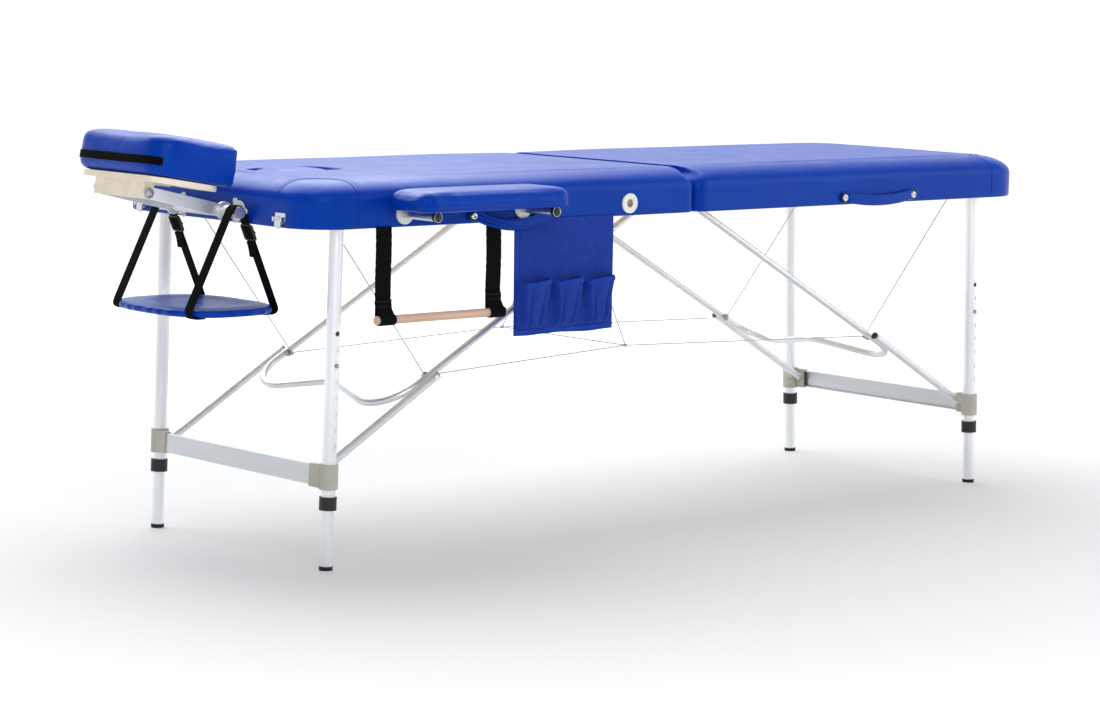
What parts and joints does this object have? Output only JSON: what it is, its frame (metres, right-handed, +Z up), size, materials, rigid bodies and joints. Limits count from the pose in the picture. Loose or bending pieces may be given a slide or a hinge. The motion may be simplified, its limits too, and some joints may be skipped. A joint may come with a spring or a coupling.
{
  "type": "portable massage table",
  "caption": "Folding massage table with two padded halves, splayed telescopic legs with cable-stayed braces, a face cradle, arm sling, armrests, pouch and roll holder.",
  "frame": {"origin": "on the floor under the middle of the table's overall length and width", "axes": "+X from the head end to the foot end, +Y from the near side to the far side, +Z up"},
  "size_m": [2.1097, 0.863, 0.778],
  "materials": {
    "blue_vinyl": "smooth glossy upholstery vinyl with a fine grain",
    "blue_cloth": "matt woven cloth",
    "timber": "planed beech",
    "plywood": "sanded birch plywood",
    "beech": "turned beech",
    "aluminium": "satin anodised",
    "steel": "zinc plated",
    "cable_steel": "stranded, bare",
    "chrome": "polished",
    "grey_plastic": "moulded, satin",
    "white_plastic": "moulded",
    "black_plastic": "moulded",
    "black_rubber": "moulded",
    "black_webbing": "woven webbing"
  },
  "bodies": {
    "head_panel": {"head_frame": "timber", "head_deck": "plywood", "head_pad": "blue_vinyl", "head_skirt": "blue_vinyl", "sockets": "white_plastic", "head_handle": "blue_vinyl", "latch_plates": "chrome", "head_brackets": "steel", "pouch": "blue_cloth"},
    "centre_link": {"hinge_pins": "steel", "cables": "cable_steel"},
    "foot_panel": {"foot_frame": "timber", "foot_deck": "plywood", "foot_pad": "blue_vinyl", "foot_skirt": "blue_vinyl", "foot_handle": "blue_vinyl", "latch_catches": "chrome", "foot_brackets": "steel"},
    "head_legs": {"head_leg_tubes": "aluminium", "head_leg_clamps": "grey_plastic", "head_cross_bar": "aluminium", "head_collars": "black_plastic"},
    "foot_legs": {"foot_leg_tubes": "aluminium", "foot_leg_clamps": "grey_plastic", "foot_cross_bar": "aluminium", "foot_collars": "black_plastic"},
    "head_struts": {"head_struts": "aluminium", "head_strut_plugs": "black_plastic"},
    "foot_struts": {"foot_struts": "aluminium", "foot_strut_plugs": "black_plastic"},
    "head_brace": {"head_brace": "aluminium"},
    "foot_brace": {"foot_brace": "aluminium"},
    "face_plug": {"face_plug": "blue_vinyl"},
    "latch_near": {"latch_near": "chrome"},
    "latch_far": {"latch_far": "chrome"},
    "cradle_base": {"cradle_base": "aluminium"},
    "cradle_arms": {"cradle_arms": "aluminium"},
    "cradle": {"cradle_plate": "plywood", "cradle_cushion": "blue_vinyl"},
    "sling": {"sling_straps": "black_webbing", "sling_buckles": "black_plastic", "sling_shelf": "blue_vinyl"},
    "armrest_near": {"armrest_near_pad": "blue_vinyl", "armrest_near_rods": "aluminium"},
    "armrest_far": {"armrest_far_pad": "blue_vinyl", "armrest_far_rods": "aluminium"},
    "roll_holder": {"roll_straps": "black_webbing"},
    "roll_dowel": {"roll_dowel": "beech"},
    "lower_leg_head_near": {"lower_leg_head_near": "aluminium", "tip_head_near": "black_rubber"},
    "button_head_near": {"button_head_near": "steel"},
    "lower_leg_head_far": {"lower_leg_head_far": "aluminium", "tip_head_far": "black_rubber"},
    "button_head_far": {"button_head_far": "steel"},
    "lower_leg_foot_near": {"lower_leg_foot_near": "aluminium", "tip_foot_near": "black_rubber"},
    "button_foot_near": {"button_foot_near": "steel"},
    "lower_leg_foot_far": {"lower_leg_foot_far": "aluminium", "tip_foot_far": "black_rubber"},
    "button_foot_far": {"button_foot_far": "steel"}
  },
  "joints": [
    {"name": "centre_close", "type": "hinge", "parent": "head_panel", "child": "centre_link", "pos_m": [0.08571, 0, 0.614], "axis": [0, 1, 0], "range_deg": [0, 60], "deforming": ["cables", "head_handle", "foot_handle", "sling_straps"]},
    {"name": "centre_fold", "type": "hinge", "parent": "centre_link", "child": "foot_panel", "pos_m": [0.08571, 0, 0.614], "axis": [0, 1, 0], "range_deg": [0, 120], "deforming": ["cables", "head_handle", "foot_handle", "sling_straps"]},
    {"name": "head_leg_fold", "type": "hinge", "parent": "head_panel", "child": "head_legs", "pos_m": [-0.75779, 0, 0.638], "axis": [0, -1, 0], "range_deg": [0, 91.66]},
    {"name": "head_brace_fold", "type": "hinge", "parent": "head_panel", "child": "head_brace", "pos_m": [0.04571, 0, 0.64], "axis": [0, 1, 0], "range_deg": [0, 29.47]},
    {"name": "head_strut_fold", "type": "hinge", "parent": "head_legs", "child": "head_struts", "pos_m": [-0.76225, 0, 0.17694], "axis": [0, -1, 0], "range_deg": [0, 59.11]},
    {"name": "head_near_leg_slide", "type": "slide", "parent": "head_legs", "child": "lower_leg_head_near", "axis": [-0.029, 0, -0.9996], "range_m": [-0.058, 0.145], "deforming": ["button_head_near"]},
    {"name": "head_near_button_press", "type": "slide", "parent": "lower_leg_head_near", "child": "button_head_near", "axis": [0, 1, 0], "range_m": [0, 0.0065], "stiffness_N_per_m": 1500},
    {"name": "head_far_leg_slide", "type": "slide", "parent": "head_legs", "child": "lower_leg_head_far", "axis": [-0.029, 0, -0.9996], "range_m": [-0.058, 0.145], "deforming": ["button_head_far"]},
    {"name": "head_far_button_press", "type": "slide", "parent": "lower_leg_head_far", "child": "button_head_far", "axis": [0, -1, 0], "range_m": [0, 0.0065], "stiffness_N_per_m": 1500},
    {"name": "foot_leg_fold", "type": "hinge", "parent": "foot_panel", "child": "foot_legs", "pos_m": [0.92921, 0, 0.638], "axis": [0, 1, 0], "range_deg": [0, 91.66]},
    {"name": "foot_brace_fold", "type": "hinge", "parent": "foot_panel", "child": "foot_brace", "pos_m": [0.12571, 0, 0.64], "axis": [0, -1, 0], "range_deg": [0, 29.47]},
    {"name": "foot_strut_fold", "type": "hinge", "parent": "foot_legs", "child": "foot_struts", "pos_m": [0.93367, 0, 0.17694], "axis": [0, 1, 0], "range_deg": [0, 59.11]},
    {"name": "foot_near_leg_slide", "type": "slide", "parent": "foot_legs", "child": "lower_leg_foot_near", "axis": [0.029, 0, -0.9996], "range_m": [-0.058, 0.145], "deforming": ["button_foot_near"]},
    {"name": "foot_near_button_press", "type": "slide", "parent": "lower_leg_foot_near", "child": "button_foot_near", "axis": [0, 1, 0], "range_m": [0, 0.0065], "stiffness_N_per_m": 1500},
    {"name": "foot_far_leg_slide", "type": "slide", "parent": "foot_legs", "child": "lower_leg_foot_far", "axis": [0.029, 0, -0.9996], "range_m": [-0.058, 0.145], "deforming": ["button_foot_far"]},
    {"name": "foot_far_button_press", "type": "slide", "parent": "lower_leg_foot_far", "child": "button_foot_far", "axis": [0, -1, 0], "range_m": [0, 0.0065], "stiffness_N_per_m": 1500},
    {"name": "plug_lift", "type": "slide", "parent": "head_panel", "child": "face_plug", "axis": [0, 0, 1], "range_m": [0, 0.08]},
    {"name": "near_latch_lift", "type": "hinge", "parent": "head_panel", "child": "latch_near", "pos_m": [-0.85029, -0.22, 0.632], "axis": [0, 1, 0], "range_deg": [0, 95]},
    {"name": "far_latch_lift", "type": "hinge", "parent": "head_panel", "child": "latch_far", "pos_m": [-0.85029, 0.22, 0.632], "axis": [0, 1, 0], "range_deg": [0, 95]},
    {"name": "cradle_slide", "type": "slide", "parent": "head_panel", "child": "cradle_base", "axis": [-1, 0, 0], "range_m": [0, 0.1]},
    {"name": "cradle_arm_pivot", "type": "hinge", "parent": "cradle_base", "child": "cradle_arms", "pos_m": [-0.86929, 0, 0.638], "axis": [0, 1, 0], "range_deg": [-20, 4]},
    {"name": "cradle_tilt", "type": "hinge", "parent": "cradle_arms", "child": "cradle", "pos_m": [-1.03152, 0, 0.67545], "axis": [0, 1, 0], "range_deg": [-15, 2]},
    {"name": "sling_swing", "type": "hinge", "parent": "cradle_base", "child": "sling", "pos_m": [-0.86929, 0, 0.638], "axis": [0, 1, 0], "range_deg": [0, 12]},
    {"name": "near_armrest_slide", "type": "slide", "parent": "head_panel", "child": "armrest_near", "axis": [0, -1, 0], "range_m": [0, 0.1]},
    {"name": "far_armrest_slide", "type": "slide", "parent": "head_panel", "child": "armrest_far", "axis": [0, 1, 0], "range_m": [0, 0.1]},
    {"name": "roll_swing", "type": "hinge", "parent": "head_panel", "child": "roll_holder", "pos_m": [-0.55729, -0.3114, 0.619], "axis": [-1, 0, 0], "range_deg": [0, 45], "deforming": ["head_handle"]},
    {"name": "dowel_spin", "type": "hinge", "parent": "roll_holder", "child": "roll_dowel", "pos_m": [-0.55729, -0.32055, 0.452], "axis": [1, 0, 0], "continuous": true}
  ],
  "couplings": [
    {"joint": "head_leg_fold", "follows": "centre_fold", "ratio": 0.76383},
    {"joint": "head_brace_fold", "follows": "centre_fold", "ratio": 0.24555},
    {"joint": "head_strut_fold", "follows": "centre_fold", "ratio": 0.49255},
    {"joint": "foot_leg_fold", "follows": "centre_fold", "ratio": 0.76383},
    {"joint": "foot_brace_fold", "follows": "centre_fold", "ratio": 0.24555},
    {"joint": "foot_strut_fold", "follows": "centre_fold", "ratio": 0.49255}
  ]
}
